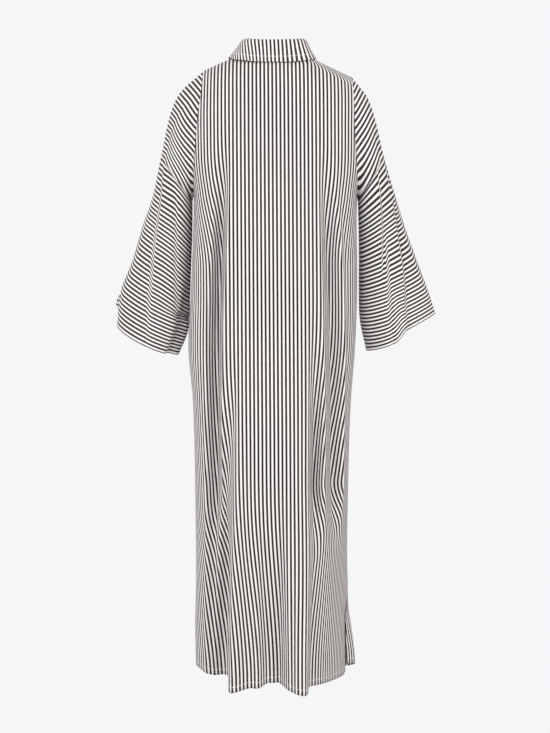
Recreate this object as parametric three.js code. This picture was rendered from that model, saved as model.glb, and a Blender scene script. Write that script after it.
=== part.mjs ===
// Striped shirt dress, worn form, hollow: back, two fronts, front band, sleeves, collar, buttons.
// Millimetres. +X is the wearer's left, -Y the wearer's front, +Z is up.
// The origin lies between the shoulders, level with the tops of the armholes.
import * as THREE from 'three';
import { mergeVertices } from 'three/addons/utils/BufferGeometryUtils.js';

// Cloth and gaps
const CLOTH = 1.4;            // wall of a panel
const BAND_WALL = 1.6;        // front band, two layers of cloth
const COLLAR_WALL = 2.0;      // collar and stand, two layers with interlining
const SEAM_GAP = 0.3;         // clear space between pieces at a seam

// Neck, shoulder and collar
const NECK_HALF_WIDTH = 72;
const NECK_BACK_DEPTH = 60;
const NECK_FRONT_DEPTH = 72;
const NECK_HEIGHT = 33;       // shoulder line at the neck, above the shoulder point
const NECK_FRONT_DIP = 34;    // the neck seam is lower at the front
const SHOULDER_LEFT = 155;    // half width of the shoulders, to the armholes
const SHOULDER_RIGHT = 171;
const SHOULDER_DROP_RIGHT = 14;
const SHOULDER_CURVE_LEFT = 1.2;   // above 1 the shoulder line falls more steeply outwards
const SHOULDER_CURVE_RIGHT = 0.95;
const SHOULDER_ROUND = 84;    // height over which the cloth turns over the shoulder
const LEVEL_FROM = 420;       // below this depth the cross grain lies level
const FRONT_SQUARE = 2.5;     // squareness of the fronts' cross-section
const TURN_STEP = 2;          // degrees between the points of a ring
const TANGENT_REACH = 8;      // a ring's direction is taken over this distance to both sides
const FOLDS_FACE_OUT = 2;     // share by which folds stand straight out and not square to the ring

// Front opening
const OVERLAP = 16;           // how far each front runs past the centre
const UNDERLAP_CLEAR = 4;     // the left front lies this far past the band before it rises
const UNDERLAP_BLEND = 40;    // distance over which the left front sinks under the right one

// Sleeves and hem
const UNDERARM = -267;
const SLIT_TOP = -1090;
const HEM = -1298;
const CAP_LENGTH = 0.3;       // share of the sleeve over which the armhole opens to a tube
const ARMHOLE_GAP = 0.5;

// Side slits: how far each corner of a panel spreads sideways, swings to the back, bulges before
// its edge, and rises at the hem
const SLIT_REACH = 46;        // width of cloth that spreads at a slit
const SWING_REACH = 130;
const BULGE_REACH = 70;
const RISE_REACH = 100;
const SPREAD_FIRST = 2.5;       // the corners spread before they swing past each other
const SWING_LATE = 2.5;       // power of the swing's growth down the slit
const HEM_SWAY = 0.25;        // the hem hangs lower where a fold stands out
const SLIT_EDGES = {
  left: {
    back: { spread: 2, swing: 0, bulge: 0, rise: 24 },
    front: { spread: -9, swing: 0, bulge: 0, rise: 18 },
  },
  right: {
    back: { spread: -9, swing: -6, bulge: 0, rise: 0 },
    front: { spread: -6, swing: -2, bulge: 17, rise: 18 },
  },
};
// The right side seam swings to the front on its way down to the slit
const SEAM_SWING = { from: -810, full: -1060, forward: -42 };

// Body cross-sections: half widths to the wearer's left and right, depths to the back and front,
// and how square the back is: it grows rounder down to the hem, where the cloth swings out
const BODY_SECTIONS = [
  { z: 40, left: 170, right: 186, back: 90, front: 88, square: 2.5 },
  { z: -50, left: 176, right: 193, back: 98, front: 100, square: 2.5 },
  { z: -115, left: 184, right: 192, back: 105, front: 112, square: 2.5 },
  { z: -190, left: 182, right: 189, back: 110, front: 122, square: 2.5 },
  { z: -267, left: 172.5, right: 178, back: 112, front: 124, square: 2.5 },
  { z: -462, left: 178, right: 178.5, back: 112, front: 114, square: 2.5 },
  { z: -590, left: 184, right: 174, back: 114, front: 110, square: 2.4 },
  { z: -700, left: 175, right: 165.5, back: 119, front: 112, square: 2.2 },
  { z: -813, left: 171, right: 161, back: 126, front: 114, square: 1.95 },
  { z: -1028, left: 168, right: 159, back: 140, front: 118, square: 1.6 },
  { z: -1160, left: 168, right: 162, back: 147, front: 121, square: 1.45 },
  { z: -1320, left: 166, right: 165, back: 152, front: 124, square: 1.36 },
];

// How far round the ring, in degrees from the centre, a panel reaches at its armhole edge
const ARMHOLE_REACH = [
  { z: 40, reach: 58 },
  { z: -60, reach: 58 },
  { z: -130, reach: 60 },
  { z: -195, reach: 66 },
  { z: -240, reach: 77 },
  { z: -267, reach: 90 },
];

// Folds: where each one lies round the body (mm from the centre, + to the wearer's left), where it
// starts and is full, its half width, how far it stands out (- is a trough) and leans sideways, and
// the share of it that is kept at the hem
const BACK_FOLDS = [
  { top: -150, full: -430, atTop: 106, atHem: 158, width: 21, widthHem: 34, out: -34, lean: 0, kept: 0.5 },
  { top: -170, full: -520, atTop: 86, atHem: 116, width: 20, widthHem: 20, out: 9, lean: 7, kept: 0 },
  { top: -560, full: -1100, atTop: 84, atHem: 131, width: 16, widthHem: 36, out: -38, lean: 0, kept: 1 },
  { top: -560, full: -1150, atTop: 58, atHem: 86, width: 32, widthHem: 36, out: 34, lean: 8, kept: 1 },
  { top: -760, full: -1280, atTop: 20, atHem: 14, width: 26, widthHem: 25, out: -32, lean: 0, kept: 1 },
  { top: -760, full: -1280, atTop: -4, atHem: -11, width: 22, widthHem: 25, out: -34, lean: 0, kept: 1 },
  { top: -840, full: -1280, atTop: -38, atHem: -35, width: 20, widthHem: 18, out: 12, lean: 0, kept: 1 },
  { top: -840, full: -1280, atTop: -57, atHem: -51, width: 20, widthHem: 18, out: 31, lean: 0, kept: 1 },
  { top: -840, full: -1280, atTop: -76, atHem: -67, width: 20, widthHem: 18, out: 36, lean: 0, kept: 1 },
  { top: -470, full: -900, atTop: -86, atHem: -100, width: 18, widthHem: 28, out: -34, lean: 0, kept: 0 },
  { top: -160, full: -430, atTop: -106, atHem: -165, width: 19, widthHem: 34, out: -28, lean: 0, kept: 0 },
  { top: -170, full: -430, atTop: -126, atHem: -190, width: 20, widthHem: 24, out: 7, lean: -6, kept: 0 },
];
const FRONT_FOLDS = [
  { top: -250, full: -600, atTop: 108, atHem: 150, width: 24, widthHem: 32, out: -30, lean: 0, kept: 0.7 },
  { top: -420, full: -900, atTop: 78, atHem: 92, width: 28, widthHem: 36, out: 18, lean: 6, kept: 1 },
  { top: -700, full: -1150, atTop: 48, atHem: 50, width: 20, widthHem: 26, out: -16, lean: 0, kept: 1 },
  { top: -600, full: -1100, atTop: -60, atHem: -64, width: 24, widthHem: 30, out: -22, lean: 0, kept: 1 },
  { top: -380, full: -950, atTop: -94, atHem: -106, width: 28, widthHem: 34, out: 18, lean: -6, kept: 1 },
  { top: -260, full: -620, atTop: -118, atHem: -152, width: 24, widthHem: 30, out: -28, lean: 0, kept: 0.7 },
];
const FADE_FROM = -870;       // where the folds that aren't kept fade
const FADE_TO = -1040;

// Sleeve sections from the armhole to the cuff, for the wearer's left and right: the outer and inner
// ends of each ring seen from behind, its half depth, how far it lies forward, how far its back dips
const SLEEVE_LEFT = [
  { t: 0, outX: 158, outZ: -2, inX: 173.6, inZ: -266, depth: 62, forward: 0, dip: 0 },
  { t: 0.12, outX: 214, outZ: -58, inX: 174.4, inZ: -266, depth: 66, forward: 6, dip: 4 },
  { t: 0.3, outX: 243, outZ: -176, inX: 176, inZ: -274, depth: 70, forward: 16, dip: 8 },
  { t: 0.45, outX: 262, outZ: -262, inX: 177, inZ: -345, depth: 70, forward: 24, dip: 10 },
  { t: 0.6, outX: 286, outZ: -331, inX: 180, inZ: -418, depth: 70, forward: 30, dip: 12 },
  { t: 0.73, outX: 307, outZ: -400, inX: 182.5, inZ: -482, depth: 70, forward: 34, dip: 14 },
  { t: 0.87, outX: 333, outZ: -469, inX: 186, inZ: -552, depth: 72, forward: 36, dip: 16 },
  { t: 1, outX: 341, outZ: -541, inX: 206, inZ: -604, depth: 74, forward: 36, dip: 18 },
];
const SLEEVE_RIGHT = [
  { t: 0, outX: 174, outZ: -16, inX: 178, inZ: -266, depth: 62, forward: 0, dip: 0 },
  { t: 0.12, outX: 209, outZ: -64, inX: 179, inZ: -266, depth: 66, forward: 6, dip: 4 },
  { t: 0.3, outX: 236, outZ: -176, inX: 181, inZ: -274, depth: 70, forward: 16, dip: 8 },
  { t: 0.45, outX: 262, outZ: -262, inX: 183, inZ: -332, depth: 70, forward: 24, dip: 10 },
  { t: 0.6, outX: 284, outZ: -331, inX: 184, inZ: -396, depth: 70, forward: 30, dip: 12 },
  { t: 0.73, outX: 309, outZ: -400, inX: 184, inZ: -460, depth: 70, forward: 34, dip: 14 },
  { t: 0.87, outX: 333, outZ: -464, inX: 186, inZ: -530, depth: 72, forward: 36, dip: 10 },
  { t: 1, outX: 350, outZ: -517, inX: 200, inZ: -598, depth: 74, forward: 36, dip: 3 },
];
// Folds of a sleeve: where along it each one starts and is full, where it lies round the tube at
// the top and at the cuff (turns from the outer edge over the back), half width, how far out
const SLEEVE_FOLDS_LEFT = [
  { from: 0.24, full: 0.55, at: 0.11, atCuff: 0.255, width: 0.05, out: -6 },
  { from: 0.3, full: 0.5, at: 0.27, atCuff: 0.4, width: 0.05, out: -4 },
  { from: 0.62, full: 0.9, at: 0.44, atCuff: 0.4, width: 0.06, out: -14 },
  { from: 0.4, full: 0.9, at: 0.66, atCuff: 0.66, width: 0.06, out: -10 },
  { from: 0.5, full: 0.9, at: 0.84, atCuff: 0.84, width: 0.06, out: -10 },
];
const SLEEVE_FOLDS_RIGHT = [
  { from: 0.28, full: 0.55, at: 0.05, atCuff: 0.23, width: 0.05, out: -9 },
  { from: 0.28, full: 0.42, at: 0.18, atCuff: 0.3, width: 0.05, out: -5 },
  { from: 0.4, full: 0.9, at: 0.64, atCuff: 0.64, width: 0.06, out: -10 },
  { from: 0.5, full: 0.9, at: 0.86, atCuff: 0.86, width: 0.06, out: -10 },
];
// The right cuff sags on its back, between turns of the tube
const SAG = { depth: 14, from: 0.23, full: 0.28, end: 0.5, along: 0.7 };

// Collar: the roll line at the top of the stand, and the lower edge of the fall
const ROLL_HALF_WIDTH = 63;
const ROLL_BACK_DEPTH = 59;
const ROLL_FRONT_DEPTH = 66;
const ROLL_HEIGHT = 61;
const ROLL_FRONT_DROP = 30;   // the roll line sinks towards the front
const ROLL_BACK_DROP = 8;
const STAND_CLEAR = 0.5;      // stand to neck seam, and fall to stand
const FALL_CLEAR = 0.8;
const STAND_END = 188;        // the stand's ends lap past the centre front, in degrees
const LAP_FROM = 160;
const LAP_FULL = 172;
const OVER_BAND_FROM = 148;   // where the stand's foot starts to rise over the front band
const OVER_BAND_RISE = 16;
const FALL_END = 166;
const FALL_SQUARE = 3.4;      // the fall lies flat across the back of the neck
const FALL_ROUND = 0.25;      // towards the sides it turns round again, over this share of its depth
const FLARE_RIGHT = 0.7;      // it stands out less over the right shoulder
const LAP_POWER = 1.5;        // how the roll line sinks towards the front
// The fall at angles from the centre back: its height, and how far its edge stands out
const FALL_SHAPE = [
  { angle: -60, height: 45.5, flare: 22 },
  { angle: 0, height: 46.6, flare: 5 },
  { angle: 60, height: 45.5, flare: 22 },
  { angle: 75, height: 40.5, flare: 26 },
  { angle: 90, height: 33.5, flare: 29 },
  { angle: 112, height: 29, flare: 29 },
  { angle: 130, height: 31, flare: 28 },
  { angle: 150, height: 50, flare: 26 },
  { angle: 166, height: 60, flare: 22 },
];
// Profile of the fall: over the stand, round the roll, then out and down to its edge
const FALL_PROFILE = [
  { stand: -1.6, out: 0, rise: 0, down: 0 },
  { stand: 2.6, out: 0, rise: 0, down: 0 },
  { stand: 5.6, out: 0.04, rise: -2, down: 0.03 },
  { stand: 5.6, out: 0.3, rise: -2, down: 0.3 },
  { stand: 5.6, out: 0.62, rise: -2, down: 0.62 },
  { stand: 5.6, out: 1, rise: -2, down: 0.97 },
];

// Buttons
const BUTTON_RADIUS = 5.75;
const BUTTON_THICK = 2.4;
const BUTTON_COUNT = 9;
const STAND_BUTTON_IN = 0.75; // the collar button's place between the stand's first two columns
const STAND_BUTTON_RISE = 0.8; // the stand curves away behind its button
const FIRST_BUTTON = -62;
const BUTTON_PITCH = 108;

// Mesh fineness
const SHOULDER_ROWS = 4;
const ARMHOLE_ROWS = 8;
const SKIRT_ROWS = 15;
const BACK_COLUMNS = 40;
const FRONT_COLUMNS = 16;
const BAND_COLUMNS = 3;
const SLEEVE_RINGS = 13;
const COLLAR_COLUMNS = 36;
const BUTTON_SIDES = 10;

const STRIPED = { color: 0x8c868a, roughness: 0.86, metalness: 0 };
const HORN = { color: 0x2e292b, roughness: 0.42, metalness: 0 };

const clamp01 = (value) => Math.min(1, Math.max(0, value));
const mix = (a, b, part) => a + (b - a) * part;
const ease = (value) => clamp01(value) ** 2 * (3 - 2 * clamp01(value));

// Value of one column of a table at a place between its rows, on a smooth curve through them
function columnAt(rows, key, column, place) {
  const rising = rows[rows.length - 1][key] > rows[0][key];
  const past = (row) => (rising ? row[key] >= place : row[key] <= place);
  const next = rows.findIndex(past);
  if (next === 0) return rows[0][column];
  if (next < 0) return rows[rows.length - 1][column];
  const a = rows[next - 1];
  const b = rows[next];
  const before = rows[Math.max(next - 2, 0)];
  const after = rows[Math.min(next + 1, rows.length - 1)];
  const span = b[key] - a[key];
  const slopeA = (b[column] - before[column]) / (b[key] - before[key]) * span;
  const slopeB = (after[column] - a[column]) / (after[key] - a[key]) * span;
  const q = (place - a[key]) / span;
  const rise = q * q * (3 - 2 * q);
  return a[column] + (b[column] - a[column]) * rise
    + slopeA * q * (1 - q) ** 2 - slopeB * q * q * (1 - q);
}

// Height of the shoulder line above a point that lies this far out from the centre
function shoulderHeight(x) {
  const edge = x > 0 ? SHOULDER_LEFT : SHOULDER_RIGHT;
  const drop = x > 0 ? 0 : SHOULDER_DROP_RIGHT;
  const curve = x > 0 ? SHOULDER_CURVE_LEFT : SHOULDER_CURVE_RIGHT;
  const past = Math.max((Math.abs(x) - NECK_HALF_WIDTH) / (edge - NECK_HALF_WIDTH), 0);
  return NECK_HEIGHT - (NECK_HEIGHT + drop) * past ** curve;
}

// A point of the body's plain ring at one height, turn in degrees from the centre line
function ringPoint(face, turn, z) {
  const angle = THREE.MathUtils.degToRad(Math.abs(turn));
  const width = columnAt(BODY_SECTIONS, 'z', turn > 0 ? 'left' : 'right', z);
  const depth = columnAt(BODY_SECTIONS, 'z', face > 0 ? 'back' : 'front', z);
  const square = face > 0 ? columnAt(BODY_SECTIONS, 'z', 'square', z) : FRONT_SQUARE;
  const across = width * Math.sin(angle) ** (2 / square);
  const deep = depth * Math.max(Math.cos(angle), 0) ** (2 / square);
  return new THREE.Vector2(Math.sign(turn) * across, face * deep);
}

// The ring of one height as points at even turns, with each point's distance from the centre line
function ringTable(face, level) {
  const points = [];
  for (let turn = -90; turn <= 90; turn += TURN_STEP) points.push(ringPoint(face, turn, level));
  const middle = 90 / TURN_STEP;
  const along = points.map(() => 0);
  for (let i = middle + 1; i < points.length; i += 1) {
    along[i] = along[i - 1] + points[i].distanceTo(points[i - 1]);
  }
  for (let i = middle - 1; i >= 0; i -= 1) {
    along[i] = along[i + 1] - points[i].distanceTo(points[i + 1]);
  }
  return { points, along };
}

// Point on a ring at a distance round it from the centre line
function pointOn(ring, distance) {
  const last = ring.along.length - 1;
  const next = ring.along.findIndex((value) => value > distance);
  const i = next < 0 ? last : Math.max(next, 1);
  const part = clamp01((distance - ring.along[i - 1]) / (ring.along[i] - ring.along[i - 1]));
  return ring.points[i - 1].clone().lerp(ring.points[i], part);
}

// Distance round the ring at which a turn from the centre line lies
function distanceAtTurn(ring, turn) {
  const place = (turn + 90) / TURN_STEP;
  const i = Math.min(Math.floor(place), ring.along.length - 2);
  return mix(ring.along[i], ring.along[i + 1], place - i);
}

// How far the folds of one face move a point out of its ring and along it
function foldShift(folds, distance, level) {
  let out = 0;
  let side = 0;
  for (const fold of folds) {
    const grown = ease((fold.top - level) / (fold.top - fold.full));
    const down = clamp01((fold.top - level) / (fold.top - HEM));
    const q = (distance - mix(fold.atTop, fold.atHem, down)) / mix(fold.width, fold.widthHem, down);
    if (Math.abs(q) < 1) {
      const faded = mix(1, fold.kept, ease((FADE_FROM - level) / (FADE_FROM - FADE_TO)));
      const bump = grown * faded * Math.cos(q * Math.PI / 2) ** 2;
      out += fold.out * bump;
      side += fold.lean * bump;
    }
  }
  return { out, side };
}

// A point of the back (face 1) or the front (face -1)
function bodyPoint(face, ring, distance, level) {
  const point = pointOn(ring, distance);
  const along = pointOn(ring, distance + TANGENT_REACH)
    .sub(pointOn(ring, distance - TANGENT_REACH)).normalize();
  const outward = new THREE.Vector2(-along.y, along.x);
  if (outward.y * face < 0) outward.negate();
  outward.y += face * FOLDS_FACE_OUT;
  outward.normalize();
  const shift = foldShift(face > 0 ? BACK_FOLDS : FRONT_FOLDS, distance, level);
  const x = point.x + outward.x * shift.out + along.x * shift.side;
  const y = point.y + outward.y * shift.out + along.y * shift.side;
  const nearNeck = clamp01(1 - (x / NECK_HALF_WIDTH) ** 2);
  const top = shoulderHeight(x) - (face < 0 ? NECK_FRONT_DIP * nearNeck : 0);
  if (level > -SHOULDER_ROUND) {
    const neckDepth = (face > 0 ? NECK_BACK_DEPTH : NECK_FRONT_DEPTH) * Math.sqrt(nearNeck);
    const first = Math.asin(Math.min(neckDepth / Math.abs(y), 1));
    const roll = mix(first, Math.PI / 2, Math.acos(1 + level / SHOULDER_ROUND) / (Math.PI / 2));
    const z = top - SHOULDER_ROUND * (1 - Math.cos(roll));
    return new THREE.Vector3(x, y * Math.sin(roll), z);
  }
  const lift = top * (1 - ease((-level - SHOULDER_ROUND) / (LEVEL_FROM - SHOULDER_ROUND)));
  return new THREE.Vector3(x, y, level + lift);
}

// Heights of the rows: round the shoulder, down the armhole, then down to the hem
function rowLevels() {
  const levels = [];
  for (let i = 0; i <= SHOULDER_ROWS; i += 1) {
    levels.push(-SHOULDER_ROUND * (1 - Math.cos((Math.PI / 2) * (i / SHOULDER_ROWS))));
  }
  for (let i = 1; i <= ARMHOLE_ROWS; i += 1) {
    levels.push(mix(-SHOULDER_ROUND, UNDERARM, i / ARMHOLE_ROWS));
  }
  for (let i = 1; i <= SKIRT_ROWS; i += 1) levels.push(mix(UNDERARM, HEM, i / SKIRT_ROWS));
  return levels;
}
const LEVELS = rowLevels();
const ARMHOLE_END = SHOULDER_ROWS + ARMHOLE_ROWS;

// Distance round the ring of a face's edge on one side at one height
function edgeDistance(ring, side, level) {
  const reach = level > UNDERARM ? columnAt(ARMHOLE_REACH, 'z', 'reach', level) : 90;
  return distanceAtTurn(ring, side * reach);
}

// The grid of points of a panel; columnsAt gives the distances of its columns at one height
function panelGrid(face, columnsAt) {
  return LEVELS.map((level, row) => {
    const ring = ringTable(face, level);
    const right = edgeDistance(ring, -1, level);
    const left = edgeDistance(ring, 1, level);
    return columnsAt(right, left).map((distance) => {
      const point = bodyPoint(face, ring, distance, level);
      const edge = distance > 0 ? left : right;
      const side = Math.sign(distance);
      const open = ease((SLIT_TOP - level) / (SLIT_TOP - HEM));
      const gap = Math.abs(edge - distance);
      const slit = (side > 0 ? SLIT_EDGES.left : SLIT_EDGES.right)[face > 0 ? 'back' : 'front'];
      const bulge = slit.bulge * Math.sin(Math.PI * Math.min(gap / BULGE_REACH, 1));
      const swung = ease((SEAM_SWING.from - level) / (SEAM_SWING.from - SEAM_SWING.full));
      const seamSwing = side < 0 ? SEAM_SWING.forward * swung : 0;
      const out = foldShift(face > 0 ? BACK_FOLDS : FRONT_FOLDS, distance, level).out;
      if (gap === 0 && row >= ARMHOLE_END) point.y = face * SEAM_GAP / 2;
      const spread = slit.spread * ease(open * SPREAD_FIRST) * ease(1 - gap / SLIT_REACH);
      point.x += side * (spread + open * bulge);
      point.y += (seamSwing + open ** SWING_LATE * slit.swing) * ease(1 - gap / SWING_REACH);
      point.z += open ** 2 * slit.rise * ease(1 - gap / RISE_REACH) - open * HEM_SWAY * out;
      if (row === 0 && Math.abs(point.x) >= NECK_HALF_WIDTH) point.y = face * SEAM_GAP / 2;
      return point;
    });
  });
}

// Directions square to a grid at its points, all to the same side of it
function gridNormals(grid, closed) {
  const rows = grid.length;
  const columns = grid[0].length;
  return grid.map((line, i) => line.map((point, j) => {
    const before = closed ? (j + columns - 1) % columns : Math.max(j - 1, 0);
    const after = closed ? (j + 1) % columns : Math.min(j + 1, columns - 1);
    const across = line[after].clone().sub(line[before]);
    const down = grid[Math.min(i + 1, rows - 1)][j].clone().sub(grid[Math.max(i - 1, 0)][j]);
    return across.cross(down).normalize();
  }));
}

// A closed wall from a grid: its outer face lies `raise` outside the points, its inner face `wall` in
function wallGeometry(grid, normals, wall, raise = 0, closed = false) {
  const rows = grid.length;
  const columns = grid[0].length;
  const positions = [];
  for (const depth of [raise, raise - wall]) {
    grid.forEach((line, i) => line.forEach((point, j) => {
      positions.push(...point.clone().addScaledVector(normals[i][j], depth).toArray());
    }));
  }
  const inner = rows * columns;
  const at = (i, j) => i * columns + (j % columns);
  const index = [];
  const quad = (a, b, c, d) => index.push(a, b, c, a, c, d);
  const lastColumn = closed ? columns : columns - 1;
  for (let i = 0; i < rows - 1; i += 1) {
    for (let j = 0; j < lastColumn; j += 1) {
      quad(at(i, j), at(i, j + 1), at(i + 1, j + 1), at(i + 1, j));
      quad(inner + at(i, j), inner + at(i + 1, j), inner + at(i + 1, j + 1), inner + at(i, j + 1));
    }
  }
  for (let j = 0; j < lastColumn; j += 1) {
    quad(at(0, j + 1), at(0, j), inner + at(0, j), inner + at(0, j + 1));
    const low = rows - 1;
    quad(at(low, j), at(low, j + 1), inner + at(low, j + 1), inner + at(low, j));
  }
  for (let i = 0; i < rows - 1 && !closed; i += 1) {
    const end = columns - 1;
    quad(at(i, 0), at(i + 1, 0), inner + at(i + 1, 0), inner + at(i, 0));
    quad(at(i + 1, end), at(i, end), inner + at(i, end), inner + at(i + 1, end));
  }
  const geometry = new THREE.BufferGeometry();
  geometry.setAttribute('position', new THREE.Float32BufferAttribute(positions, 3));
  geometry.setIndex(index);
  if (signedVolume(positions, index) < 0) {
    for (let k = 0; k < index.length; k += 3) [index[k + 1], index[k + 2]] = [index[k + 2], index[k + 1]];
    geometry.setIndex(index);
  }
  geometry.computeVertexNormals();
  return geometry;
}

function signedVolume(positions, index) {
  const corner = (k) => new THREE.Vector3().fromArray(positions, index[k] * 3);
  let volume = 0;
  for (let k = 0; k < index.length; k += 3) {
    volume += corner(k).dot(corner(k + 1).cross(corner(k + 2))) / 6;
  }
  return volume;
}

const group = new THREE.Group();
function addPiece(name, geometry, finish) {
  const mesh = new THREE.Mesh(geometry, new THREE.MeshStandardMaterial(finish));
  mesh.name = name;
  group.add(mesh);
  return mesh;
}

// Directions across the wall of a body panel; at a seam they stay in the plane of the seam
function panelNormals(grid, face) {
  const normals = gridNormals(grid, false);
  const end = grid[0].length - 1;
  const turned = normals[ARMHOLE_END][Math.floor(end / 2)].y * face < 0 ? -1 : 1;
  normals.forEach((line, i) => line.forEach((normal, j) => {
    normal.multiplyScalar(turned);
    const shoulder = i === 0 && Math.abs(grid[0][j].x) >= NECK_HALF_WIDTH;
    const sideEdge = (j === 0 || j === end) && Math.abs(grid[i][j].x) > NECK_HALF_WIDTH;
    const armhole = i < ARMHOLE_END && normal.x * grid[i][j].x < 0;
    if (shoulder || (sideEdge && i >= ARMHOLE_END)) normal.setY(0).normalize();
    if (sideEdge && armhole) normal.setX(0).normalize();
  }));
  return normals;
}

// Back, from shoulder line and neck to the hem
const evenColumns = (from, to, count) =>
  Array.from({ length: count + 1 }, (_, j) => mix(from, to, j / count));
const backGrid = panelGrid(1, (right, left) => [
  ...evenColumns(right, 0, BACK_COLUMNS / 2).slice(0, -1),
  ...evenColumns(0, left, BACK_COLUMNS / 2),
]);
const backNormals = panelNormals(backGrid, 1);
addPiece('back', wallGeometry(backGrid, backNormals, CLOTH), STRIPED);

// Right front, on top, with its edge past the centre; the band's columns are the last ones
const rightGrid = panelGrid(-1, (right) => [
  ...evenColumns(right, -OVERLAP, FRONT_COLUMNS).slice(0, -1),
  ...evenColumns(-OVERLAP, OVERLAP, BAND_COLUMNS),
]);
const rightNormals = panelNormals(rightGrid, -1);
addPiece('front_right', wallGeometry(rightGrid, rightNormals, CLOTH), STRIPED);

// Left front, which sinks under the right one near the centre
const leftGrid = panelGrid(-1, (right, left) => [
  ...evenColumns(-OVERLAP, OVERLAP, BAND_COLUMNS).slice(0, -1),
  ...evenColumns(OVERLAP, left, FRONT_COLUMNS),
]);
const leftNormals = panelNormals(leftGrid, -1);
leftGrid.forEach((line, i) => line.forEach((point, j) => {
  const past = Math.max(point.x - OVERLAP, 0);
  const sink = (CLOTH + SEAM_GAP) * (1 - ease((past - UNDERLAP_CLEAR) / UNDERLAP_BLEND));
  point.addScaledVector(leftNormals[i][j], -sink);
}));
addPiece('front_left', wallGeometry(leftGrid, leftNormals, CLOTH), STRIPED);

// Buttonhole band, sewn on the edge of the right front
const bandGrid = rightGrid.map((line) => line.slice(-BAND_COLUMNS - 1));
const bandNormals = rightNormals.map((line) => line.slice(-BAND_COLUMNS - 1));
const BAND_RAISE = SEAM_GAP + BAND_WALL;
addPiece('front_band', wallGeometry(bandGrid, bandNormals, BAND_WALL, BAND_RAISE), STRIPED);

// Sleeves: the first ring is the armhole, the others follow the sleeve's sections
function armholeRing(side) {
  const frontGrid = side > 0 ? leftGrid : rightGrid;
  const backEdge = side > 0 ? backGrid[0].length - 1 : 0;
  const frontEdge = side > 0 ? frontGrid[0].length - 1 : 0;
  const ring = [];
  for (let i = 0; i <= ARMHOLE_END; i += 1) ring.push(backGrid[i][backEdge].clone());
  for (let i = ARMHOLE_END - 1; i > 0; i -= 1) ring.push(frontGrid[i][frontEdge].clone());
  ring[0].setY(0);
  ring[ARMHOLE_END].setY(0);
  return ring.map((point) => point.setX(point.x + side * ARMHOLE_GAP));
}

function sleeveFold(folds, turn, t) {
  let out = 0;
  for (const fold of folds) {
    const down = clamp01((t - fold.from) / (1 - fold.from));
    const q = (turn - mix(fold.at, fold.atCuff, down)) / fold.width;
    const grown = ease((t - fold.from) / (fold.full - fold.from));
    if (Math.abs(q) < 1) out += fold.out * grown * Math.cos(q * Math.PI / 2) ** 2;
  }
  return out;
}

function cuffSag(turn, t) {
  const sinks = ease((turn - SAG.from) / (SAG.full - SAG.from));
  const rises = ease((SAG.end - turn) / (SAG.end - SAG.full));
  return SAG.depth * sinks * rises * ease((t - SAG.along) / (1 - SAG.along));
}

function sleeveGrid(side, sections, folds) {
  const armhole = armholeRing(side);
  const sides = armhole.length;
  const grid = [];
  const offsets = [];
  for (let i = 0; i <= SLEEVE_RINGS; i += 1) {
    const t = i / SLEEVE_RINGS;
    const value = (column) => columnAt(sections, 't', column, t);
    const outer = new THREE.Vector3(side * value('outX'), -value('forward'), value('outZ'));
    const inner = new THREE.Vector3(side * value('inX'), -value('forward'), value('inZ'));
    const centre = outer.clone().add(inner).multiplyScalar(0.5);
    const away = outer.clone().sub(inner).multiplyScalar(0.5);
    const open = ease(t / CAP_LENGTH);
    grid.push(armhole.map((start, k) => {
      const turn = k / sides;
      const angle = turn * Math.PI * 2;
      const fold = 1 + sleeveFold(folds, turn, t) / away.length();
      const point = centre.clone().addScaledVector(away, Math.cos(angle) * fold);
      point.y += Math.sin(angle) * value('depth') * fold;
      point.z -= Math.sin(angle) * value('dip');
      if (side < 0) point.z -= cuffSag(turn, t);
      if (i === 0) offsets.push(start.clone().sub(point));
      return point.addScaledVector(offsets[k], 1 - open);
    }));
  }
  return grid;
}

for (const [name, side, sections, folds] of [
  ['sleeve_left', 1, SLEEVE_LEFT, SLEEVE_FOLDS_LEFT],
  ['sleeve_right', -1, SLEEVE_RIGHT, SLEEVE_FOLDS_RIGHT],
]) {
  const grid = sleeveGrid(side, sections, folds);
  const normals = gridNormals(grid, true);
  const half = Math.floor(SLEEVE_RINGS / 2);
  const outward = grid[half][0].clone().sub(grid[half][Math.floor(grid[0].length / 2)]);
  const turned = normals[half][0].dot(outward) < 0 ? -1 : 1;
  normals.forEach((line) => line.forEach((normal) => normal.multiplyScalar(turned)));
  normals[0].forEach((normal) => normal.setX(0).normalize());
  addPiece(name, wallGeometry(grid, normals, CLOTH, 0, true), STRIPED);
}

// Collar: places round the neck by angle from the centre back, + to the wearer's left
const cosine = (degrees) => Math.cos(THREE.MathUtils.degToRad(degrees));
const sine = (degrees) => Math.sin(THREE.MathUtils.degToRad(degrees));
const raised = (value, power) => Math.sign(value) * Math.abs(value) ** power;
function neckPlace(angle, width, back, front, out = 0, square = 2) {
  const deep = cosine(angle) > 0 ? back : front;
  const power = 2 / mix(2, square, ease(cosine(angle) / FALL_ROUND));
  return {
    x: raised(sine(angle), power) * (width + out),
    y: raised(cosine(angle), power) * (deep + out),
  };
}
function neckHeight(angle) {
  const face = cosine(angle) > 0 ? 1 : -1;
  const ring = ringTable(face, 0);
  const { x, y } = neckPlace(angle, NECK_HALF_WIDTH, NECK_BACK_DEPTH, NECK_FRONT_DEPTH);
  const near = clamp01(1 - (x / NECK_HALF_WIDTH) ** 2);
  const depth = Math.abs(pointOn(ring, x).y);
  const roll = Math.asin(Math.min(Math.abs(y) / depth, 1));
  const top = NECK_HEIGHT - (face < 0 ? NECK_FRONT_DIP * near : 0);
  return top - SHOULDER_ROUND * (1 - Math.cos(roll));
}
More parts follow.
